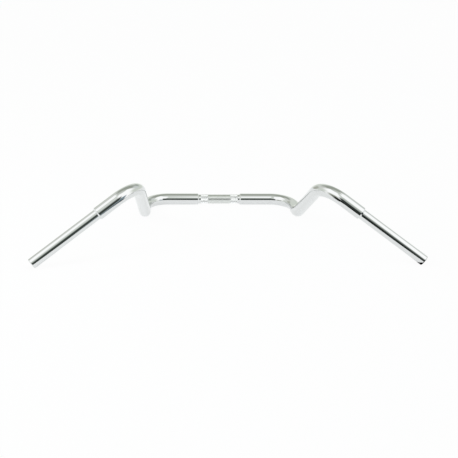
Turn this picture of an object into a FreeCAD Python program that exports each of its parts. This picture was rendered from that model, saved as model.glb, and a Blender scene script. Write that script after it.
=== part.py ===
import FreeCAD, Part
import os
import Sketcher
from FreeCAD import Placement, Rotation, Vector

# Motorcycle handlebar, a welded one-and-a-quarter inch bar with one inch ends.
#
# Frame: origin at the middle of the clamp section, +X along it to the
# rider's right, -Y towards the rider, +Z up. The bar is drawn as it lies on
# a bench: the clamp section and the first bends are level, the legs climb
# towards the rider and the grips slope back down to the bench.
#
# Each side is one bent tube. A tube bender works with three kinds of number,
# and so does this model: how far to feed the tube, how far to roll it about
# its own axis, and how far to bend it. The right tube runs through
#   feed, 90 degree bend, feed, roll, knee bend, feed, roll, grip bend, feed
# and the left one is its mirror image, so its rolls have the other sign.

doc = FreeCAD.newDocument("handlebar")

# ---------------------------------------------------------------- sizes
SIZES = [
    ("main_od", "31.75", "outside diameter of the two bent tubes, 1 1/4 inch"),
    ("main_wall", "3.4", "wall of the two bent tubes"),
    ("stock_od", "25.4", "outside diameter of the clamp and grip tubes, 1 inch"),
    ("stock_bore", "19.3", "bore of the clamp and grip tubes"),
    ("slip_gap", "0.12", "radial gap of a spigot inside a bent tube"),
    ("spigot", "38", "length of each spigot inside a bent tube"),
    ("clamp_half", "61.5", "middle of the bar to the end of a bent tube"),
    ("feed_first", "83.5", "bent tube, straight before the first bend"),
    ("bend_radius", "63.5", "centre line radius of every bend"),
    ("first_bend_angle", "90", "first bend, from across to towards the rider"),
    ("feed_knee", "21", "straight between the first bend and the knee"),
    ("knee_roll_angle", "94.8", "roll of the tube before the knee bend"),
    ("knee_bend_angle", "36.2", "knee bend, which lifts the leg"),
    ("feed_leg", "168", "straight leg between the knee and the grip bend"),
    ("grip_roll_angle", "125.2", "roll of the tube before the grip bend"),
    ("grip_bend_angle", "87.3", "grip bend, which turns the tube outwards"),
    ("feed_last", "54.55", "straight after the grip bend"),
    ("grip_length", "186", "visible length of a grip tube"),
    ("end_round", "2", "round on the open end of a grip tube"),
    ("bore_break", "0.6", "chamfer on the mouth of a bore"),
    ("weld_length", "3.6", "dressed weld, end of a bent tube to the full one inch"),
    ("knurl_inner", "32", "middle of the bar to the near edge of a knurl band"),
    ("knurl_width", "21", "width of a knurl band"),
    ("knurl_depth", "0.35", "root of the knurl below the tube's surface"),
]
sheet = doc.addObject("Spreadsheet::Sheet", "sizes")
for row, (alias, value, note) in enumerate(SIZES, start=1):
    sheet.set("A%d" % row, alias)
    sheet.set("B%d" % row, value)
    sheet.set("C%d" % row, note)
    sheet.setAlias("B%d" % row, alias)
doc.recompute()

# Radii that follow from the sizes above, written once for the expressions.
MAIN_OUT = "sizes.main_od / 2"
MAIN_IN = "sizes.main_od / 2 - sizes.main_wall"
SPIGOT_OUT = MAIN_IN + " - sizes.slip_gap"
STOCK_OUT = "sizes.stock_od / 2"
STOCK_IN = "sizes.stock_bore / 2"


# ---------------------------------------------------------------- helpers
def new_body(name):
    body = doc.addObject("PartDesign::Body", name)
    body.Label = name
    return body


def origin_plane(body, role):
    return next(f for f in body.Origin.OriginFeatures if f.Role == role)


def sketch_on(body, name, support, offset=None):
    """A sketch on an origin plane, or on a station plane of its own body."""
    sketch = body.newObject("Sketcher::SketchObject", name)
    sketch.AttachmentSupport = [(support, "")]
    own = support.TypeId == "PartDesign::Plane"
    sketch.MapMode = "ObjectXY" if own else "FlatFace"
    if offset:
        sketch.setExpression("AttachmentOffset.Base.x", offset)
    return sketch


def named(sketch, name, constraint, expression):
    index = sketch.addConstraint(constraint)
    sketch.renameConstraint(index, name)
    sketch.setExpression("Constraints." + name, expression)


def annulus(sketch, outer, inner, centre=None):
    """Two circles about the origin, or about a centre at minus X."""
    at = Vector(-60 if centre else 0, 0, 0)
    for k, (name, radius) in enumerate((("outer", outer), ("inner", inner))):
        sketch.addGeometry(Part.Circle(at, Vector(0, 0, 1), 15 - 4 * k), False)
        if k:
            sketch.addConstraint(Sketcher.Constraint("Coincident", 1, 3, 0, 3))
        elif centre:
            sketch.addConstraint(Sketcher.Constraint("PointOnObject", 0, 3, -1))
            named(sketch, "reach", Sketcher.Constraint("DistanceX", 0, 3, -1, 1, 60.0), centre)
        else:
            sketch.addConstraint(Sketcher.Constraint("Coincident", 0, 3, -1, 1))
        named(sketch, name, Sketcher.Constraint("Radius", k, 15.0 - 4 * k), radius)


def station(body, name, support, axis, angle, dx="0", dz="0"):
    """A plane across the tube. Z is the way the tube runs, X is the inside
    of the next bend. It is placed relative to the station before it."""
    plane = body.newObject("PartDesign::Plane", name)
    plane.AttachmentSupport = [(support, "")]
    plane.MapMode = "ObjectXY"
    plane.AttachmentOffset = Placement(Vector(), Rotation(Vector(*axis), 1))
    plane.setExpression("AttachmentOffset.Base.x", dx)
    plane.setExpression("AttachmentOffset.Base.z", dz)
    plane.setExpression("AttachmentOffset.Rotation.Angle", angle)
    return plane


def feed(body, name, plane, length):
    """A straight run of tube."""
    sketch = sketch_on(body, name + "_section", plane)
    annulus(sketch, MAIN_OUT, MAIN_IN)
    pad = body.newObject("PartDesign::Pad", name)
    pad.Profile = sketch
    pad.setExpression("Length", length)
    pad.Refine = False
    return pad


def bend(body, name, plane, angle):
    """A bent run of tube, turned about an axis on the inside of the bend."""
    sketch = sketch_on(body, name + "_section", plane, "sizes.bend_radius")
    annulus(sketch, MAIN_OUT, MAIN_IN, "sizes.bend_radius")
    turn = body.newObject("PartDesign::Revolution", name)
    turn.Profile = sketch
    turn.ReferenceAxis = (sketch, ["V_Axis"])
    turn.setExpression("Angle", angle)
    turn.Refine = False
    return turn


def edges_at(shape, axis, place, radius):
    """Names of the circular edges of this radius at this place along Z."""
    found = []
    for k, edge in enumerate(shape.Edges, start=1):
        curve = edge.Curve
        if (isinstance(curve, Part.Circle) and abs(curve.Radius - radius) < 1e-4
                and abs(curve.Center.dot(axis) - place) < 1e-4):
            found.append("Edge%d" % k)
    return found


# ---------------------------------------------------------------- clamp tube
# One inch tube through the middle. Its two knurled bands are where the
# risers grip. Each end is turned down to a spigot that goes into a bent
# tube, and the turned part starts where the weld does.
clamp = new_body("centre_clamp_tube")
for part, outer, length in (
        ("spigots", SPIGOT_OUT, "2 * (sizes.clamp_half + sizes.spigot)"),
        ("clamp_stock", STOCK_OUT, "2 * (sizes.clamp_half - sizes.weld_length)")):
    section = sketch_on(clamp, part + "_section", origin_plane(clamp, "YZ_Plane"))
    annulus(section, outer, STOCK_IN)
    run = clamp.newObject("PartDesign::Pad", part)
    run.Profile = section
    run.SideType = "Symmetric"
    run.setExpression("Length", length)

# The root of a knurl band is a shallow groove, and the teeth stand in it up
# to the surface of the tube.
band = sketch_on(clamp, "knurl_root", origin_plane(clamp, "XY_Plane"))
corners = [(32, 12.35), (53, 12.35), (53, 14), (32, 14)]
for k in range(4):
    a, b = corners[k], corners[(k + 1) % 4]
    band.addGeometry(Part.LineSegment(Vector(a[0], a[1], 0), Vector(b[0], b[1], 0)), False)
for k in range(4):
    band.addConstraint(Sketcher.Constraint("Coincident", k, 2, (k + 1) % 4, 1))
for k, kind in enumerate(("Horizontal", "Vertical", "Horizontal", "Vertical")):
    band.addConstraint(Sketcher.Constraint(kind, k))
named(band, "near", Sketcher.Constraint("DistanceX", -1, 1, 0, 1, 32.0), "sizes.knurl_inner")
named(band, "width", Sketcher.Constraint("DistanceX", 0, 1, 0, 2, 21.0), "sizes.knurl_width")
named(band, "root", Sketcher.Constraint("DistanceY", -1, 1, 0, 1, 12.35),
      STOCK_OUT + " - sizes.knurl_depth")
named(band, "above", Sketcher.Constraint("DistanceY", 0, 2, 1, 2, 1.65),
      "sizes.knurl_depth + 1")
groove = clamp.newObject("PartDesign::Groove", "knurl_band")
groove.Profile = band
groove.ReferenceAxis = (band, ["H_Axis"])
groove.Angle = 360
groove.Refine = False
mirrored = clamp.newObject("PartDesign::Mirrored", "knurl_bands")
mirrored.Originals = [groove]
mirrored.MirrorPlane = (origin_plane(clamp, "YZ_Plane"), [""])
clamp.Tip = mirrored
doc.recompute()

# ---------------------------------------------------------------- bent tubes
# The stations of each tube are kept, because the pieces welded to the tube
# take their places from them.
ends = {}
for side, sign in (("right", 1), ("left", -1)):
    name = side + "_main_tube"
    tube = new_body(name)
    base = origin_plane(tube, "YZ_Plane")
    # The start looks along the tube, with the inside of the first bend
    # towards the rider. The left tube starts the other way round.
    start_axis = (0, 0, 1) if sign > 0 else (0, 1, 0)
    along = "sizes.clamp_half" if sign > 0 else "-sizes.clamp_half"
    at = station(tube, side + "_start", base, start_axis, "180", dz=along)
    runs = [
        ("first", "sizes.feed_first", "0", "sizes.first_bend_angle"),
        ("knee", "sizes.feed_knee", "%d * sizes.knee_roll_angle" % -sign, "sizes.knee_bend_angle"),
        ("grip", "sizes.feed_leg", "%d * sizes.grip_roll_angle" % -sign, "sizes.grip_bend_angle"),
    ]
    for run, length, roll, angle in runs:
        feed(tube, "%s_%s_feed" % (side, run), at, length)
        at = station(tube, "%s_%s_rolled" % (side, run), at, (0, 0, 1), roll, dz=length)
        bend(tube, "%s_%s_bend" % (side, run), at, angle)
        at = station(tube, "%s_%s_bent" % (side, run), at, (0, 1, 0), angle,
                     dx="sizes.bend_radius * (1 - cos(%s))" % angle,
                     dz="sizes.bend_radius * sin(%s)" % angle)
    last = feed(tube, side + "_last_feed", at, "sizes.feed_last")
    ends[side] = station(tube, side + "_end", at, (0, 0, 1), "0", dz="sizes.feed_last")
    tube.Tip = last
    doc.recompute()

# ---------------------------------------------------------------- grip tubes
# One inch tube with a spigot inside the bent tube. The open end is rounded
# over outside and broken inside, so a rubber grip slides on without tearing.
for side in ("right", "left"):
    grip = new_body(side + "_grip_tube")
    for part, outer, start, length in (
            ("spigot", SPIGOT_OUT, "-sizes.spigot", "sizes.spigot + sizes.weld_length"),
            ("stock", STOCK_OUT, "sizes.weld_length", "sizes.grip_length - sizes.weld_length")):
        name = "%s_grip_%s" % (side, part)
        section = sketch_on(grip, name + "_section", origin_plane(grip, "XY_Plane"))
        section.setExpression("AttachmentOffset.Base.z", start)
        annulus(section, outer, STOCK_IN)
        stock = grip.newObject("PartDesign::Pad", name)
        stock.Profile = section
        stock.setExpression("Length", length)
    doc.recompute()
    up = Vector(0, 0, 1)
    tip = float(sheet.get("grip_length"))
    outer = float(sheet.get("stock_od")) / 2
    inner = float(sheet.get("stock_bore")) / 2
    rounded = grip.newObject("PartDesign::Fillet", side + "_grip_round")
    rounded.Base = (stock, edges_at(stock.Shape, up, tip, outer))
    rounded.setExpression("Radius", "sizes.end_round")
    doc.recompute()
    broken = grip.newObject("PartDesign::Chamfer", side + "_grip_mouth")
    broken.Base = (rounded, edges_at(rounded.Shape, up, tip, inner))
    broken.setExpression("Size", "sizes.bore_break")
    grip.Tip = broken
    grip.setExpression("Placement", ends[side].Name + ".Placement")
    doc.recompute()


# ---------------------------------------------------------------- welds
# A ring of weld fills the groove between the end of a bent tube and the full
# diameter of the one inch tube that comes out of it. It is dressed to a
# cone, flush with both tubes, before the bar is plated.
def weld(name):
    ring = new_body(name)
    sketch = sketch_on(ring, name + "_section", origin_plane(ring, "XZ_Plane"))
    pts = [(12.35, 0), (15.875, 0), (12.7, 3.6), (12.35, 3.6)]
    for k in range(4):
        a, b = pts[k], pts[(k + 1) % 4]
        sketch.addGeometry(Part.LineSegment(Vector(a[0], a[1], 0), Vector(b[0], b[1], 0)), False)
    for k in range(4):
        sketch.addConstraint(Sketcher.Constraint("Coincident", k, 2, (k + 1) % 4, 1))
    for k, kind in ((0, "Horizontal"), (2, "Horizontal"), (3, "Vertical")):
        sketch.addConstraint(Sketcher.Constraint(kind, k))
    sketch.addConstraint(Sketcher.Constraint("PointOnObject", 0, 1, -1))
    for part, edge, end, at, size in (("seat", 0, 1, 12.35, SPIGOT_OUT),
                                      ("shoulder", 0, 2, 15.875, MAIN_OUT),
                                      ("run_out", 1, 2, 12.7, STOCK_OUT)):
        named(sketch, part, Sketcher.Constraint("DistanceX", -1, 1, edge, end, at), size)
    named(sketch, "length", Sketcher.Constraint("DistanceY", 0, 1, 3, 1, 3.6), "sizes.weld_length")
    turn = ring.newObject("PartDesign::Revolution", name + "_bead")
    turn.Profile = sketch
    turn.ReferenceAxis = (sketch, ["V_Axis"])
    turn.Angle = 360
    turn.Refine = False
    return ring


for side, sign in (("right", 1), ("left", -1)):
    outer_weld = weld(side + "_grip_weld")
    outer_weld.setExpression("Placement", ends[side].Name + ".Placement")
    inner_weld = weld(side + "_clamp_weld")
    inner_weld.Placement = Placement(Vector(), Rotation(Vector(0, 1, 0), -90 * sign))
    inner_weld.setExpression("Placement.Base.x", "%d * sizes.clamp_half" % sign)
doc.recompute()

# ---------------------------------------------------------------- checks
bodies = [o for o in doc.Objects if o.TypeId == "PartDesign::Body"]
for o in doc.Objects:
    if {"Invalid", "Error"} & set(o.State):
        raise RuntimeError("%s failed: %s" % (o.Name, o.State))
for body in bodies:
    shape = body.Shape
    if shape.isNull() or not shape.isValid() or len(shape.Solids) != 1:
        raise RuntimeError("%s is not one valid solid" % body.Label)

# A bent tube's volume is its section times the length of its centre line.
val = {alias: float(sheet.get(alias)) for alias, _, _ in SIZES}
turned = val["first_bend_angle"] + val["knee_bend_angle"] + val["grip_bend_angle"]
run = (val["feed_first"] + val["feed_knee"] + val["feed_leg"] + val["feed_last"]
       + val["bend_radius"] * turned * 3.141592653589793 / 180)
bore = val["main_od"] / 2 - val["main_wall"]
expected = 3.141592653589793 * ((val["main_od"] / 2) ** 2 - bore ** 2) * run
for side in ("right", "left"):
    volume = doc.getObject(side + "_main_tube").Shape.Volume
    print("%s_main_tube %.0f mm3, section times length %.0f mm3" % (side, volume, expected))
    if abs(volume - expected) > 0.002 * expected:
        raise RuntimeError(side + "_main_tube has lost or gained metal")

for side in ("right", "left"):
    place = ends[side].Placement
    way = place.Rotation.multVec(Vector(0, 0, 1))
    tip = place.Base + way * val["grip_length"]
    low = tip.z - val["stock_od"] / 2 * (1 - way.z ** 2) ** 0.5
    print("%s end %s, axis (%.5f, %.5f, %.5f), tip (%.2f, %.2f, %.2f), lowest %.3f" % (
        side, tuple(round(c, 3) for c in place.Base), way.x, way.y, way.z,
        tip.x, tip.y, tip.z, low))

os.makedirs("parts", exist_ok=True)
for body in bodies:
    body.Shape.exportStep("parts/%s.step" % body.Label)
    box = body.Shape.BoundBox
    print("%-18s x %.1f to %.1f  y %.1f to %.1f  z %.1f to %.1f" % (
        body.Label, box.XMin, box.XMax, box.YMin, box.YMax, box.ZMin, box.ZMax))
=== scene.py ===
# %% [markdown]
# # A chromed motorcycle handlebar
#
# The real object is a bar of two tube sizes. Thick tubes make the bends, and slimmer tubes make the middle,
# where the risers clamp, and the ends, where the grips go. Everything is welded and then plated, so what the
# eye sees is one material: bright chrome. Chrome has almost no colour of its own. It shows its surroundings,
# so most of the work is in smooth surfaces and in a believable studio around them.

# %% Load the engineering model
import math
import bpy
import bmesh
from mathutils import Color, Matrix, Vector


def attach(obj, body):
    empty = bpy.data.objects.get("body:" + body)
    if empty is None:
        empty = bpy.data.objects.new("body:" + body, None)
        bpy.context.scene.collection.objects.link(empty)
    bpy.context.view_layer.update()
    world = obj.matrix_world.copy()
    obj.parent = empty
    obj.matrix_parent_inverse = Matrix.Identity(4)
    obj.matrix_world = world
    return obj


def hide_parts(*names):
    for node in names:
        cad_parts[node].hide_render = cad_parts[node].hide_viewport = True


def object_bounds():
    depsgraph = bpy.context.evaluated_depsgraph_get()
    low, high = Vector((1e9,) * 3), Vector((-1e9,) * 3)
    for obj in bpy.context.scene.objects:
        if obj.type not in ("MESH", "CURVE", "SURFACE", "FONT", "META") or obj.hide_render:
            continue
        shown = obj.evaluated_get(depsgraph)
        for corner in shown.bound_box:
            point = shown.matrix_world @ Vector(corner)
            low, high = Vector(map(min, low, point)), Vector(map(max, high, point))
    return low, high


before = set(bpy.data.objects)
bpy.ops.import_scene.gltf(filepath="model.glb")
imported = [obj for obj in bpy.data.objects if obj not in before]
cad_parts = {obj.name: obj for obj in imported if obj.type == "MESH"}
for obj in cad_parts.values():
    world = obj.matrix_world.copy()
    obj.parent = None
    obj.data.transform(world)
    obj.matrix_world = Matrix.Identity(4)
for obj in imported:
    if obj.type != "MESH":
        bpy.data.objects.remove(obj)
cad_low, cad_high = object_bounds()
print("engineering model", [round(c, 4) for c in cad_low], [round(c, 4) for c in cad_high])

# %% [markdown]
# ## The camera
#
# The bar lies on a table, and the camera looks down at it from the rider's side, a little to the left of the
# middle. A camera needs a place, a direction and a lens. The three axes below are its right, its up and the
# way it looks from, and together they make the rotation part of its matrix.

# %% Place the camera
camera = bpy.data.objects.new("camera", bpy.data.cameras.new("camera"))
bpy.context.scene.collection.objects.link(camera)
bpy.context.scene.camera = camera
camera.data.sensor_width = 36.0
camera.data.lens = 52.766
camera.data.clip_end = 60.0
right, up = Vector((0.99499, -0.09389, 0.03448)), Vector((0.00357, 0.37786, 0.92585))
axes = Matrix((right, up, right.cross(up))).transposed()
camera.matrix_world = Matrix.Translation((-0.16464, -1.81349, 0.64750)) @ axes.to_4x4()
print("camera", [round(c, 3) for c in camera.location], "lens", camera.data.lens)

# %% [markdown]
# ## How a tube bender describes a tube
#
# A bending machine doesn't know about corners in space. It feeds the tube a length, rolls it about its own
# axis, and bends it by an angle. The same list drives this scene: each line below is a feed in metres, a
# roll and a bend in degrees. Walking along the list with a moving frame gives the centre line, and it ends
# with the frame in which the grip tube sits. A support point close to each end of a straight keeps the
# shading of a bend out of the straight.

# %% Walk along the right tube
MAIN_R, MAIN_BORE_R = 0.015875, 0.012475
STOCK_R, STOCK_BORE_R, SPIGOT_R = 0.0127, 0.00965, 0.012355
CLAMP_HALF, SPIGOT, WELD = 0.0615, 0.038, 0.0036
BEND_RADIUS = 0.0635
SUPPORT = 0.0015
BENDER_LIST = [(0.0835, 0.0, 90.0), (0.021, -94.8, 36.2), (0.168, -125.2, 87.3), (0.05455, 0.0, 0.0)]


def walk(start, steps, degrees_a_step=1.5):
    """Points along the centre line, and the moving frame at its end: X inside the bend, Z along the tube."""
    at, points = start.copy(), [start.translation.copy()]
    for feed, roll, angle in steps:
        for short in (SUPPORT, feed - SUPPORT):
            points.append((at @ Matrix.Translation((0, 0, short))).translation)
        at = at @ Matrix.Translation((0, 0, feed)) @ Matrix.Rotation(math.radians(roll), 4, "Z")
        points.append(at.translation.copy())
        arcs = round(angle / degrees_a_step)
        step = math.radians(angle / max(arcs, 1))
        turn = (Matrix.Translation((BEND_RADIUS, 0, 0)) @ Matrix.Rotation(step, 4, "Y")
                @ Matrix.Translation((-BEND_RADIUS, 0, 0)))
        for _ in range(arcs):
            at = at @ turn
            points.append(at.translation.copy())
    return points, at


start = Matrix(((0, 0, 1, CLAMP_HALF), (-1, 0, 0, 0), (0, -1, 0, 0), (0, 0, 0, 1)))
centre_line, grip_frame = walk(start, BENDER_LIST)
print("right tube", len(centre_line), "points, ends at", [round(c, 4) for c in grip_frame.translation])

# %% [markdown]
# ## A Geometry Nodes tool that turns a line into a tube
#
# A line of points becomes a tube when a circle is swept along it. A real tube has a wall, so the tool sweeps
# two circles, one for the outside and one for the bore, and turns the bore's faces round. The same two
# circles, filled, make the ring that closes each end. The tool has named inputs, so one tree serves both
# sides of the bar.

# %% Build the tube tool
SIDES = 96


def new_socket(tree, name, kind, value=None):
    """A named input of a node tree, with the value it starts with."""
    socket = tree.interface.new_socket(name=name, in_out="INPUT", socket_type=kind)
    if value is not None:
        socket.default_value = value
    return socket


def node(tree, kind, links=(), **settings):
    """A node with its settings, and links given as (input, source socket)."""
    made = tree.nodes.new(kind)
    for key, value in settings.items():
        setattr(made, key, value)
    for name, source in links:
        target = made.inputs[name]
        if isinstance(source, bpy.types.NodeSocket):
            tree.links.new(source, target)
        else:
            target.default_value = source
    return made


tube_tree = bpy.data.node_groups.new("tube along a line", "GeometryNodeTree")
tube_tree.interface.new_socket(name="Line", in_out="INPUT", socket_type="NodeSocketGeometry")
new_socket(tube_tree, "Outside radius", "NodeSocketFloat", MAIN_R)
new_socket(tube_tree, "Bore radius", "NodeSocketFloat", MAIN_BORE_R)
new_socket(tube_tree, "Sides", "NodeSocketInt", SIDES)
new_socket(tube_tree, "Plating", "NodeSocketMaterial")
tube_tree.interface.new_socket(name="Tube", in_out="OUTPUT", socket_type="NodeSocketGeometry")
given = tube_tree.nodes.new("NodeGroupInput").outputs
line = node(tube_tree, "GeometryNodeMeshToCurve", [("Mesh", given["Line"])]).outputs["Curve"]
rings = []
for radius in ("Outside radius", "Bore radius"):
    rings.append(node(tube_tree, "GeometryNodeCurvePrimitiveCircle",
                      [("Resolution", given["Sides"]), ("Radius", given[radius])]).outputs["Curve"])
skins = [node(tube_tree, "GeometryNodeCurveToMesh",
              [("Curve", line), ("Profile Curve", ring)]).outputs["Mesh"] for ring in rings]
bore = node(tube_tree, "GeometryNodeFlipFaces", [("Mesh", skins[1])]).outputs["Mesh"]
both = node(tube_tree, "GeometryNodeJoinGeometry")
for ring in rings:
    tube_tree.links.new(ring, both.inputs["Geometry"])
wall = node(tube_tree, "GeometryNodeFillCurve", [("Curve", both.outputs["Geometry"])]).outputs["Mesh"]
ends = node(tube_tree, "GeometryNodeCurveEndpointSelection").outputs["Selection"]
tangent = node(tube_tree, "GeometryNodeInputTangent").outputs["Tangent"]
normal = node(tube_tree, "GeometryNodeInputNormal").outputs["Normal"]
facing = node(tube_tree, "FunctionNodeAxesToRotation",
              [("Primary Axis", tangent), ("Secondary Axis", normal)],
              primary_axis="Z", secondary_axis="X").outputs["Rotation"]
caps = node(tube_tree, "GeometryNodeInstanceOnPoints",
            [("Points", line), ("Selection", ends), ("Instance", wall),
             ("Rotation", facing)]).outputs["Instances"]
caps = node(tube_tree, "GeometryNodeRealizeInstances", [("Geometry", caps)]).outputs["Geometry"]
whole = node(tube_tree, "GeometryNodeJoinGeometry")
for part in (skins[0], bore, caps):
    tube_tree.links.new(part, whole.inputs["Geometry"])
dressed = node(tube_tree, "GeometryNodeSetMaterial",
               [("Geometry", whole.outputs["Geometry"]), ("Material", given["Plating"])]).outputs["Geometry"]
out = tube_tree.nodes.new("NodeGroupOutput")
tube_tree.links.new(dressed, out.inputs["Tube"])
print("tube tool has", len(tube_tree.nodes), "nodes")

# %% [markdown]
# ## Marks that only show up close
#
# Even a good chrome shop leaves traces. The polishing belt runs round and along the tube, so the metal under
# the plating has faint waves, and handling leaves patches that are a little less glossy. Both are a shader
# node group, built once, with named inputs. Each finish sets its own amounts.

# %% Build the polishing marks
marks = bpy.data.node_groups.new("polishing marks", "ShaderNodeTree")
new_socket(marks, "Size", "NodeSocketFloat", 60.0)
new_socket(marks, "Glossiest", "NodeSocketFloat", 0.02)
new_socket(marks, "Dullest", "NodeSocketFloat", 0.06)
marks.interface.new_socket(name="Roughness", in_out="OUTPUT", socket_type="NodeSocketFloat")
marks.interface.new_socket(name="Height", in_out="OUTPUT", socket_type="NodeSocketFloat")
given = marks.nodes.new("NodeGroupInput").outputs
place = node(marks, "ShaderNodeTexCoord").outputs["Object"]
patches = node(marks, "ShaderNodeTexNoise",
               [("Vector", place), ("Scale", given["Size"]), ("Detail", 4.0),
                ("Roughness", 0.6)]).outputs["Fac"]
dull = node(marks, "ShaderNodeMapRange", [("Value", patches), ("From Min", 0.35), ("From Max", 0.7),
                                           ("To Min", given["Glossiest"]), ("To Max", given["Dullest"])])
waves = node(marks, "ShaderNodeTexNoise",
             [("Vector", place), ("Scale", 38.0), ("Detail", 1.0)]).outputs["Fac"]
out = marks.nodes.new("NodeGroupOutput")
marks.links.new(dull.outputs["Result"], out.inputs["Roughness"])
marks.links.new(waves, out.inputs["Height"])
print("polishing marks:", [item.name for item in marks.interface.items_tree])

# %% [markdown]
# ## The finishes
#
# Chrome plate is a mirror that gives back about seven tenths of the light, so a reflection of a reflection
# is clearly darker. A metallic Principled shader with almost no roughness makes it, and the marks break it
# up a little. Between the knurled bands the tube was only brushed before plating, so it is satin. On the
# rolled teeth the same plate looks frosty. The bores of the slim tubes are bare steel: plating hardly gets
# into a tube, and oil and dust leave it dark.

# %% Make the finishes
def metal(name, colour, size, glossiest, dullest, wave):
    """A metal whose patches lie between two roughnesses, with waves of a height in metres."""
    made = bpy.data.materials.new(name)
    made.use_nodes = True
    tree = made.node_tree
    tree.nodes.clear()
    group = node(tree, "ShaderNodeGroup", node_tree=marks)
    for key, value in (("Size", size), ("Glossiest", glossiest), ("Dullest", dullest)):
        group.inputs[key].default_value = value
    bump = node(tree, "ShaderNodeBump", [("Height", group.outputs["Height"]), ("Strength", 1.0),
                                          ("Distance", wave)]).outputs["Normal"]
    surface = node(tree, "ShaderNodeBsdfPrincipled",
                   [("Metallic", 1.0), ("Roughness", group.outputs["Roughness"]), ("Normal", bump)])
    surface.inputs["Base Color"].default_value = (*colour, 1.0)
    out = tree.nodes.new("ShaderNodeOutputMaterial")
    tree.links.new(surface.outputs["BSDF"], out.inputs["Surface"])
    return made


chrome = metal("polished chrome plate", (0.71, 0.72, 0.72), 60.0, 0.015, 0.05, 0.00002)
satin_chrome = metal("satin chrome plate", (0.71, 0.73, 0.71), 200.0, 0.34, 0.44, 0.00002)
knurl_chrome = metal("frosty plate on the knurl", (0.95, 0.96, 0.96), 300.0, 0.35, 0.5, 0.00001)
bare_steel = metal("bare steel in the bore", (0.24, 0.22, 0.20), 120.0, 0.45, 0.7, 0.0001)
print("finishes:", [m.name for m in (chrome, satin_chrome, knurl_chrome, bare_steel)])

# %% [markdown]
# ## From a tool's result to a finished piece
#
# The result of a Geometry Nodes modifier is turned into a plain mesh. Loose ends are merged, faces are made
# to point outwards, and edges sharper than 35 degrees are marked, so that long curves stay smooth and rims
# stay crisp. The printed count of open edges should be nought: the piece is then a closed solid.

# %% Finish a mesh
def finish_piece(name, mesh, slot, *stands_for):
    """A cleaned mesh as a named piece of the bar, which may stand for some of the engineer's."""
    clean = bmesh.new()
    clean.from_mesh(mesh)
    bmesh.ops.remove_doubles(clean, verts=clean.verts, dist=2e-6)
    bmesh.ops.recalc_face_normals(clean, faces=clean.faces)
    open_edges = sum(not edge.is_manifold for edge in clean.edges)
    clean.to_mesh(mesh)
    clean.free()
    mesh.shade_smooth()
    mesh.set_sharp_from_angle(angle=math.radians(35))
    mesh.name = name
    piece = bpy.data.objects.new(name, mesh)
    bpy.context.scene.collection.objects.link(piece)
    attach(piece, "root")
    if stands_for:
        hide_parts(*stands_for)
    print(name, len(mesh.polygons), "faces,", open_edges, "open edges")
    return piece


def run_tool(tree, mesh, **values):
    """The mesh that a Geometry Nodes tree makes of a mesh, with its inputs set by name."""
    carrier = bpy.data.objects.new("carrier", mesh)
    bpy.context.scene.collection.objects.link(carrier)
    modifier = carrier.modifiers.new("tool", "NODES")
    modifier.node_group = tree
    names = {item.name: item.identifier for item in tree.interface.items_tree if item.in_out == "INPUT"}
    for key, value in values.items():
        modifier[names[key.replace("_", " ")]] = value
    evaluated = carrier.evaluated_get(bpy.context.evaluated_depsgraph_get())
    made = bpy.data.meshes.new_from_object(evaluated)
    carrier.modifiers.remove(modifier)
    bpy.data.objects.remove(carrier)
    return made


# %% [markdown]
# ## The two bent tubes
#
# The left tube is the mirror image of the right one, so its line is the same with the sign of X turned
# round. The tool sweeps both, and each then stands for the engineer's tube of the same name.

# %% Sweep the bent tubes
for side, sign in (("right", 1), ("left", -1)):
    path = bpy.data.meshes.new("centre line")
    path.from_pydata([(sign * p.x, p.y, p.z) for p in centre_line],
                     [(k, k + 1) for k in range(len(centre_line) - 1)], [])
    swept = run_tool(tube_tree, path, Outside_radius=MAIN_R, Bore_radius=MAIN_BORE_R, Sides=SIDES,
                     Plating=chrome)
    finish_piece(side + "_bent_tube", swept, "chrome", side + "_main_tube")

# %% [markdown]
# ## Pieces that come off a lathe
#
# The clamp tube, the grip tubes and the dressed welds are round about one axis, so each is a profile turned
# through a full circle. The profile is a closed outline of (distance along, radius). Short lines next to
# each corner hold the shading flat, as a support loop does in hand modelling.

# %% Turn a profile
LONG_LINE, SUPPORT_GAP = 0.0025, 0.0004


def turned(outline, place, bore_radius=0.0, sides=SIDES):
    """A closed outline of (along, radius) turned about Z and set in place, with bare steel in the bore."""
    corners = []
    for k, a in enumerate(outline):
        b = outline[(k + 1) % len(outline)]
        corners.append(a)
        length = math.hypot(b[0] - a[0], b[1] - a[1])
        if length > LONG_LINE:
            for share in (SUPPORT_GAP / length, 1 - SUPPORT_GAP / length):
                corners.append((a[0] + (b[0] - a[0]) * share, a[1] + (b[1] - a[1]) * share))
    points, faces, inside = [], [], []
    for along, radius in corners:
        for s in range(sides):
            turn = 2 * math.pi * s / sides
            points.append(place @ Vector((radius * math.cos(turn), radius * math.sin(turn), along)))
    for k in range(len(corners)):
        n = (k + 1) % len(corners)
        for s in range(sides):
            e = (s + 1) % sides
            faces.append((k * sides + s, k * sides + e, n * sides + e, n * sides + s))
            inside.append(max(corners[k][1], corners[n][1]) < bore_radius + 1e-6)
    mesh = bpy.data.meshes.new("turned")
    mesh.from_pydata(points, [], faces)
    mesh.materials.append(chrome)
    mesh.materials.append(bare_steel)
    mesh.polygons.foreach_set("material_index", [int(i) for i in inside])
    return mesh


def round_corner(along, radius, size, steps=10):
    """Points of a quarter round that turns from the outside of a tube to its end face."""
    return [(along - size + size * math.sin(a), radius - size + size * math.cos(a))
            for a in (math.pi / 2 * k / steps for k in range(steps + 1))]


# %% [markdown]
# ## The grip tubes
#
# Each grip tube starts inside the thick tube as a turned down spigot, and its outer end is rounded so that a
# rubber grip slides on. The mouth of its bore has a small chamfer.

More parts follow.
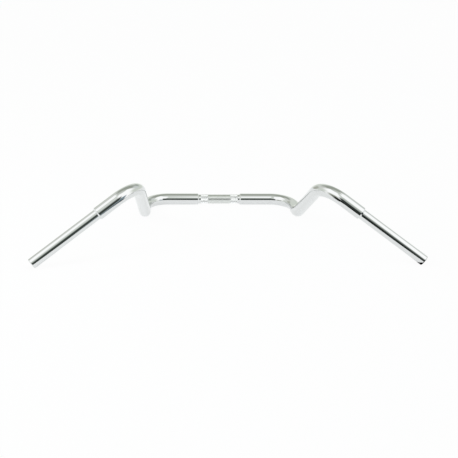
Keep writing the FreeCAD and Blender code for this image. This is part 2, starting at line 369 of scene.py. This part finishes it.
# %% Turn the grip tubes
GRIP, END_ROUND, MOUTH = 0.186, 0.002, 0.0006
grip_outline = [(-SPIGOT, STOCK_BORE_R), (-SPIGOT, SPIGOT_R), (WELD, SPIGOT_R), (WELD, STOCK_R)]
grip_outline += round_corner(GRIP, STOCK_R, END_ROUND)
grip_outline += [(GRIP, STOCK_BORE_R + MOUTH), (GRIP - MOUTH, STOCK_BORE_R)]
mirror = Matrix.Scale(-1, 4, (1, 0, 0))
for side, place in (("right", grip_frame), ("left", mirror @ grip_frame)):
    finish_piece(side + "_grip_end", turned(grip_outline, place, STOCK_BORE_R), "chrome", side + "_grip_tube")

# %% [markdown]
# ## The welds
#
# Where a thick tube ends on a slim one, the welder fills the corner and then dresses it to a cone before
# plating. It shows as one bright line across the long reflections, because the cone faces another part of
# the room. A hand dressed cone has no hard corners, so both are rounded a little.

# %% Turn the dressed welds
SOFT, DROP = 0.0003, 0.0001
weld_outline = [(0.0, SPIGOT_R), (0.0, MAIN_R), (SOFT, MAIN_R - DROP), (WELD - SOFT, STOCK_R + 1.2 * DROP),
                (WELD, STOCK_R), (WELD, SPIGOT_R)]
inner = Matrix.Translation((CLAMP_HALF, 0, 0)) @ Matrix.Rotation(math.radians(-90), 4, "Y")
for side, flip in (("right", Matrix.Identity(4)), ("left", mirror)):
    finish_piece(side + "_grip_bead", turned(weld_outline, flip @ grip_frame), "chrome", side + "_grip_weld")
    finish_piece(side + "_clamp_bead", turned(weld_outline, flip @ inner), "chrome", side + "_clamp_weld")

# %% [markdown]
# ## The clamp tube and its knurl
#
# A knurl is rolled into the tube by two hard wheels with slanted grooves. They press a diamond pattern whose
# points bite into the riser, so the bar can't turn. The tube has a shallow band where the wheels ran, and
# the teeth stand in it up to the old surface.

# %% Turn the clamp tube
KNURL_NEAR, KNURL_WIDTH, KNURL_DEPTH = 0.032, 0.021, 0.00035
KNURL_FAR, KNURL_ROOT_R = KNURL_NEAR + KNURL_WIDTH, STOCK_R - KNURL_DEPTH
KNURL_TEETH, KNURL_ROWS = 66, 20
right_half = [(KNURL_NEAR, STOCK_R), (KNURL_NEAR, KNURL_ROOT_R),
              (KNURL_FAR, KNURL_ROOT_R), (KNURL_FAR, STOCK_R),
              (CLAMP_HALF - WELD, STOCK_R), (CLAMP_HALF - WELD, SPIGOT_R),
              (CLAMP_HALF + SPIGOT, SPIGOT_R), (CLAMP_HALF + SPIGOT, STOCK_BORE_R)]
left_half = [(-along, radius) for along, radius in reversed(right_half)]
along_x = Matrix.Rotation(math.radians(90), 4, "Y")
clamp_mesh = turned(right_half + left_half, along_x, STOCK_BORE_R)
clamp_mesh.materials.append(satin_chrome)
PLATED, SATIN = 0, 2
for face in clamp_mesh.polygons:
    if face.material_index == PLATED and abs(face.center.x) < KNURL_FAR:
        face.material_index = SATIN
finish_piece("clamp_tube", clamp_mesh, "chrome_knurl", "centre_clamp_tube")

# %% [markdown]
# ## A Geometry Nodes tool for the knurl
#
# Each tooth is a four sided pyramid, longer along the tube than round it. The tool makes one point for each
# tooth, works out its row and its place in the row from its number, shifts every other row by half a tooth,
# and puts a pyramid on each point with its tip outwards.

# %% Build the knurl tool
knurl_tree = bpy.data.node_groups.new("knurl band", "GeometryNodeTree")
new_socket(knurl_tree, "Middle", "NodeSocketFloat", 0.0)
new_socket(knurl_tree, "Width", "NodeSocketFloat", KNURL_WIDTH)
new_socket(knurl_tree, "Root radius", "NodeSocketFloat", KNURL_ROOT_R)
new_socket(knurl_tree, "Tooth height", "NodeSocketFloat", KNURL_DEPTH)
new_socket(knurl_tree, "Teeth round", "NodeSocketInt", KNURL_TEETH)
new_socket(knurl_tree, "Rows", "NodeSocketInt", KNURL_ROWS)
new_socket(knurl_tree, "Plating", "NodeSocketMaterial")
knurl_tree.interface.new_socket(name="Teeth", in_out="OUTPUT", socket_type="NodeSocketGeometry")
given = knurl_tree.nodes.new("NodeGroupInput").outputs


def maths(tree, operation, *values):
    """A sum in nodes: each value is a number or a socket."""
    made = tree.nodes.new("ShaderNodeMath")
    made.operation = operation
    for socket, value in zip(made.inputs, values):
        if isinstance(value, bpy.types.NodeSocket):
            tree.links.new(value, socket)
        else:
            socket.default_value = value
    return made.outputs["Value"]


number = node(knurl_tree, "GeometryNodeInputIndex").outputs["Index"]
row = maths(knurl_tree, "FLOOR", maths(knurl_tree, "DIVIDE", number, given["Teeth round"]))
teeth_before = maths(knurl_tree, "MULTIPLY", row, given["Teeth round"])
place_in_row = maths(knurl_tree, "SUBTRACT", number, teeth_before)
stagger = maths(knurl_tree, "MULTIPLY", maths(knurl_tree, "MODULO", row, 2.0), 0.5)
shifted = maths(knurl_tree, "ADD", place_in_row, stagger)
angle = maths(knurl_tree, "MULTIPLY", maths(knurl_tree, "DIVIDE", shifted, given["Teeth round"]), 2 * math.pi)
pitch = maths(knurl_tree, "DIVIDE", given["Width"], given["Rows"])
from_edge = maths(knurl_tree, "MULTIPLY", maths(knurl_tree, "ADD", row, 0.5), pitch)
from_middle = maths(knurl_tree, "SUBTRACT", from_edge, maths(knurl_tree, "MULTIPLY", given["Width"], 0.5))
along = maths(knurl_tree, "ADD", from_middle, given["Middle"])
outward = node(knurl_tree, "ShaderNodeCombineXYZ",
               [("X", 0.0), ("Y", maths(knurl_tree, "COSINE", angle)),
                ("Z", maths(knurl_tree, "SINE", angle))]).outputs["Vector"]
root = node(knurl_tree, "ShaderNodeVectorMath", operation="SCALE")
knurl_tree.links.new(outward, root.inputs[0])
knurl_tree.links.new(given["Root radius"], root.inputs["Scale"])
shift = node(knurl_tree, "ShaderNodeCombineXYZ", [("X", along), ("Y", 0.0), ("Z", 0.0)]).outputs["Vector"]
spot = node(knurl_tree, "ShaderNodeVectorMath", operation="ADD")
knurl_tree.links.new(root.outputs["Vector"], spot.inputs[0])
knurl_tree.links.new(shift, spot.inputs[1])
count = maths(knurl_tree, "MULTIPLY", given["Teeth round"], given["Rows"])
dots = node(knurl_tree, "GeometryNodePoints",
            [("Count", count), ("Position", spot.outputs["Vector"])]).outputs["Points"]
tooth = node(knurl_tree, "GeometryNodeMeshCone", [("Vertices", 4), ("Radius Bottom", 1.0), ("Depth", 1.0)],
             fill_type="NGON").outputs["Mesh"]
half_round = maths(knurl_tree, "MULTIPLY", given["Root radius"], math.pi)
half_tooth = maths(knurl_tree, "DIVIDE", half_round, given["Teeth round"])
size = node(knurl_tree, "ShaderNodeCombineXYZ",
            [("X", pitch), ("Y", half_tooth), ("Z", given["Tooth height"])]).outputs["Vector"]
turn = node(knurl_tree, "FunctionNodeAxesToRotation",
            [("Primary Axis", outward), ("Secondary Axis", (1.0, 0.0, 0.0))],
            primary_axis="Z", secondary_axis="X").outputs["Rotation"]
teeth = node(knurl_tree, "GeometryNodeInstanceOnPoints",
             [("Points", dots), ("Instance", tooth), ("Rotation", turn),
              ("Scale", size)]).outputs["Instances"]
teeth = node(knurl_tree, "GeometryNodeRealizeInstances", [("Geometry", teeth)]).outputs["Geometry"]
teeth = node(knurl_tree, "GeometryNodeSetMaterial",
             [("Geometry", teeth), ("Material", given["Plating"])]).outputs["Geometry"]
out = knurl_tree.nodes.new("NodeGroupOutput")
knurl_tree.links.new(teeth, out.inputs["Teeth"])
print("knurl tool has", len(knurl_tree.nodes), "nodes")

# %% [markdown]
# ## The two knurled bands
#
# The tool runs once for each side, with the middle of the band as its only change. The teeth are pieces of
# their own that lie on the clamp tube's groove.

# %% Roll the two knurled bands
for side, sign in (("right", 1), ("left", -1)):
    rolled = run_tool(knurl_tree, bpy.data.meshes.new("empty"), Middle=sign * (KNURL_NEAR + KNURL_WIDTH / 2),
                      Width=KNURL_WIDTH, Root_radius=KNURL_ROOT_R, Tooth_height=KNURL_DEPTH,
                      Teeth_round=KNURL_TEETH, Rows=KNURL_ROWS, Plating=knurl_chrome)
    finish_piece(side + "_knurl", rolled, "chrome_knurl")

# %% [markdown]
# ## The table
#
# Chrome is a mirror, so the table is half of the picture. It is white and runs on behind the bar, but in
# front of the grips a real table ends, and the mirror shows what lies beyond and below its edge. The table
# is therefore two boards side by side. Both look the same to the camera, and only the back one is seen in
# reflections. The paint is lit like any surface, so shadows lie on it. The camera sees it mixed with a plain
# white glow, which leaves a hint of those shadows, and the chrome sees a smaller share of that glow. Two
# small black cards lie on the table, one beside the right tip and one at the middle of the front edge, where
# only the chrome can see them. The card by the tip is painted shadow: it stands for the shade on the
# table beside and under the tip, and draws a dark line round the rim. The card at the front edge makes
# the table dark there as the chrome sees it.

# %% Paint the table and the cards
TABLE_TOP, FRONT_EDGE, REACH = cad_low.z, -0.555, 12.0
CARD_LIFT = 0.0002
GLOW_SEEN, GLOW_MIRRORED, MIRRORED_GAIN = 0.95, 0.6, 0.2
table = bpy.data.materials.new("white table")
table.use_nodes = True
tree = table.node_tree
tree.nodes.clear()
board = node(tree, "ShaderNodeBsdfDiffuse", [("Color", (0.90, 0.93, 0.95, 1.0))]).outputs["BSDF"]
rays = node(tree, "ShaderNodeLightPath").outputs
brightness = maths(tree, "MULTIPLY_ADD", rays["Is Glossy Ray"], MIRRORED_GAIN, 1.0)
glow = node(tree, "ShaderNodeEmission", [("Color", (1.0, 1.0, 1.0, 1.0)),
                                          ("Strength", brightness)]).outputs["Emission"]
seen = maths(tree, "MULTIPLY", rays["Is Camera Ray"], GLOW_SEEN)
mirrored = maths(tree, "MULTIPLY", rays["Is Glossy Ray"], GLOW_MIRRORED)
painted = node(tree, "ShaderNodeMixShader")
for socket, source in zip(painted.inputs, (maths(tree, "ADD", seen, mirrored), board, glow)):
    tree.links.new(source, socket)
out = tree.nodes.new("ShaderNodeOutputMaterial")
tree.links.new(painted.outputs["Shader"], out.inputs["Surface"])
# black paint for both cards; on the card by the tip it is painted shadow, seen only in the chrome
black_card = bpy.data.materials.new("black card")
black_card.use_nodes = True
card_black_paint = black_card.node_tree.nodes["Principled BSDF"].inputs
card_black_paint["Base Color"].default_value = (0.015, 0.015, 0.015, 1.0)
card_black_paint["Roughness"].default_value = 0.9
card_black_paint["Specular IOR Level"].default_value = 0.0

# %% Lay the table and the cards
boards = []
for name, left, near, right, far, lift, finish in (
        ("table_back", -REACH, FRONT_EDGE, REACH, REACH, 0.0, table),
        ("table_front", -REACH, -REACH, REACH, FRONT_EDGE, 0.0, table),
        # painted shadow: black where the shade on the table lies beside and under the right tip
        ("card_for_the_tip_shadow", 0.437, -0.56, 0.64, -0.30, CARD_LIFT, black_card),
        # a dark patch at the middle of the front edge, seen only in the chrome
        ("card_at_the_edge", -0.07, -0.60, 0.10, -0.445, CARD_LIFT, black_card)):
    level = TABLE_TOP + lift
    mesh = bpy.data.meshes.new(name)
    mesh.from_pydata([(left, near, level), (right, near, level), (right, far, level), (left, far, level)],
                     [], [(0, 1, 2, 3)])
    mesh.materials.append(finish)
    boards.append(bpy.data.objects.new(name, mesh))
    bpy.context.scene.collection.objects.link(boards[-1])
table_back, table_front, *cards = boards
table_front.visible_glossy = False
for card in cards:
    card.visible_camera = False
    card.visible_diffuse = False
    card.visible_shadow = False
print("table top at", round(TABLE_TOP, 4), "m")

# %% [markdown]
# ## A tool that paints one soft panel into the surroundings
#
# What the mirror shows beyond the table is far away, so only the direction of a reflected ray matters. A
# direction has a heading, counted clockwise from straight ahead, and a height above the table, both in
# degrees. The tool below paints one soft edged rectangle of such directions over whatever was there before.
# Its inputs are the ray's heading and height, the middle and the half sizes of the panel, the softness of
# its edges, and the two colours.

# %% Build the panel tool
panel = bpy.data.node_groups.new("soft panel", "ShaderNodeTree")
for name in ("Heading", "Height", "Middle heading", "Middle height", "Half width", "Half height",
             "Soft sides", "Soft top"):
    new_socket(panel, name, "NodeSocketFloat", 0.0)
for name in ("Under", "Paint"):
    new_socket(panel, name, "NodeSocketColor", (1.0, 1.0, 1.0, 1.0))
panel.interface.new_socket(name="Colour", in_out="OUTPUT", socket_type="NodeSocketColor")
given = panel.nodes.new("NodeGroupInput").outputs


def cover(away, half, soft):
    """One inside the panel and nought outside, with a soft edge."""
    return node(panel, "ShaderNodeMapRange",
                [("Value", away), ("From Min", maths(panel, "SUBTRACT", half, soft)),
                 ("From Max", maths(panel, "ADD", half, soft)), ("To Min", 1.0), ("To Max", 0.0)],
                interpolation_type="SMOOTHSTEP").outputs["Result"]


def mixed(tree, share, first, second):
    """The first colour where the share is nought, and the second where it is one."""
    made = node(tree, "ShaderNodeMix", data_type="RGBA")
    for name, value in (("Factor_Float", share), ("A_Color", first), ("B_Color", second)):
        socket = next(s for s in made.inputs if s.identifier == name)
        if isinstance(value, bpy.types.NodeSocket):
            tree.links.new(value, socket)
        else:
            socket.default_value = value
    return next(s for s in made.outputs if s.identifier == "Result_Color")


turned_away = maths(panel, "SUBTRACT", given["Heading"], given["Middle heading"])
sideways = maths(panel, "ABSOLUTE", maths(panel, "WRAP", turned_away, 180.0, -180.0))
upwards = maths(panel, "ABSOLUTE", maths(panel, "SUBTRACT", given["Height"], given["Middle height"]))
painted = maths(panel, "MULTIPLY", cover(sideways, given["Half width"], given["Soft sides"]),
                cover(upwards, given["Half height"], given["Soft top"]))
out = panel.nodes.new("NodeGroupOutput")
panel.links.new(mixed(panel, painted, given["Under"], given["Paint"]), out.inputs["Colour"])
print("panel tool has", len(panel.nodes), "nodes")

# %% [markdown]
# ## The studio
#
# White walls stand to the left and right. Behind the bar is a grey wall, lighter towards the table, and the
# ceiling is pale grey. On the camera's side is an open doorway to a dark room, with a strip of wall above
# it, and below the edge of the table everything is in shadow. Panels are painted in the order of the list,
# so a later one lies over an earlier one. The shades are the levels, out of 255, that a screen would show.
# The camera itself sees plain white, and the chrome sees the room a little brighter than it lights the
# table, which keeps the bar's bright parts as bright as the paper round them.

# %% Paint the studio into the world
WHITE = (1.12, 1.12, 1.12, 1.0)
STUDIO = [
    # name, middle heading and height, half width and height, softness of sides and top, shade
    ("ceiling", 0, 86, 200, 16, 1, 4, (200, 204, 198)),
    ("back wall", 0, 54, 68, 25, 14, 13, (158, 163, 153)),
    ("foot of the back wall", 0, 14, 98, 19, 13, 13, (212, 217, 209)),
    ("shade behind on the right", 30, 27, 16, 8, 6, 7, (164, 171, 164)),
    ("shade behind on the left", 316, 11, 14, 16, 8, 8, (176, 178, 168)),
    ("right end of the back wall", 56, 33, 13, 13, 6, 6, (210, 214, 212)),
    ("left end of the back wall", 307, 40, 17, 16, 4, 5, (214, 216, 211)),
    ("bright line behind", 2, 0, 15, 5, 12, 7, (255, 255, 246)),
    ("upper wall over the doorway", 188, 60, 12, 14, 5, 6, (214, 219, 212)),
    ("wall above the doorway", 182, 34, 17, 11, 8, 5, (200, 206, 199)),
    ("left of the doorway", 234, -6, 19, 22, 10, 9, (158, 162, 150)),
    ("right of the doorway", 130, -8, 12, 20, 4, 9, (122, 140, 149)),
    ("doorway", 162, -1, 21, 31, 5, 9, (62, 69, 65)),
    ("left half of the doorway", 194, -4, 15, 28, 7, 8, (46, 52, 49)),
    ("below the front edge", 196, -30, 46, 29, 8, 5, (36, 40, 38)),
]
world = bpy.data.worlds.new("studio")
bpy.context.scene.world = world
world.use_nodes = True
tree = world.node_tree
tree.nodes.clear()
towards = node(tree, "ShaderNodeTexCoord").outputs["Generated"]
way = node(tree, "ShaderNodeSeparateXYZ", [("Vector", towards)]).outputs
heading = maths(tree, "DEGREES", maths(tree, "ARCTAN2", way["X"], way["Y"]))
height = maths(tree, "DEGREES", maths(tree, "ARCSINE", way["Z"]))
colour = WHITE
for name, at, level, wide, tall, soft_sides, soft_top, shade in STUDIO:
    painted = node(tree, "ShaderNodeGroup", node_tree=panel, label=name)
    for key, value in (("Middle heading", at), ("Middle height", level), ("Half width", wide),
                       ("Half height", tall), ("Soft sides", soft_sides), ("Soft top", soft_top)):
        painted.inputs[key].default_value = value
    paint = Color([c / 255 for c in shade]).from_srgb_to_scene_linear()
    painted.inputs["Paint"].default_value = (*paint, 1.0)
    tree.links.new(heading, painted.inputs["Heading"])
    tree.links.new(height, painted.inputs["Height"])
    if isinstance(colour, bpy.types.NodeSocket):
        tree.links.new(colour, painted.inputs["Under"])
    else:
        painted.inputs["Under"].default_value = colour
    colour = painted.outputs["Colour"]
rays = node(tree, "ShaderNodeLightPath").outputs
colour = mixed(tree, rays["Is Camera Ray"], colour, (1.0, 1.0, 1.0, 1.0))
strength = maths(tree, "MULTIPLY_ADD", rays["Is Glossy Ray"], MIRRORED_GAIN, 1.0)
background = node(tree, "ShaderNodeBackground",
                  [("Color", colour), ("Strength", strength)]).outputs["Background"]
out = tree.nodes.new("ShaderNodeOutputWorld")
tree.links.new(background, out.inputs["Surface"])
print("studio painted with", len(STUDIO), "panels")

# %% [markdown]
# ## A soft lamp
#
# One large lamp stands on the left. It gives the bar a soft shadow on the table, of which the camera sees a
# hint and the chrome a little more. It is kept out of reflections, because the white walls already give the
# mirror something bright to show.

# %% Hang the lamp
lamp = bpy.data.objects.new("soft lamp", bpy.data.lights.new("soft lamp", "AREA"))
lamp.data.shape = "SQUARE"
lamp.data.size = 0.7
lamp.data.energy = 14.0
lamp.location = (-1.9, -0.9, 1.3)
lamp.rotation_euler = (-lamp.location).to_track_quat("-Z", "Y").to_euler()
lamp.visible_glossy = False
bpy.context.scene.collection.objects.link(lamp)
bpy.context.scene.view_settings.view_transform = "Standard"
print("lamp", lamp.data.energy, "W at", [round(c, 2) for c in lamp.location])
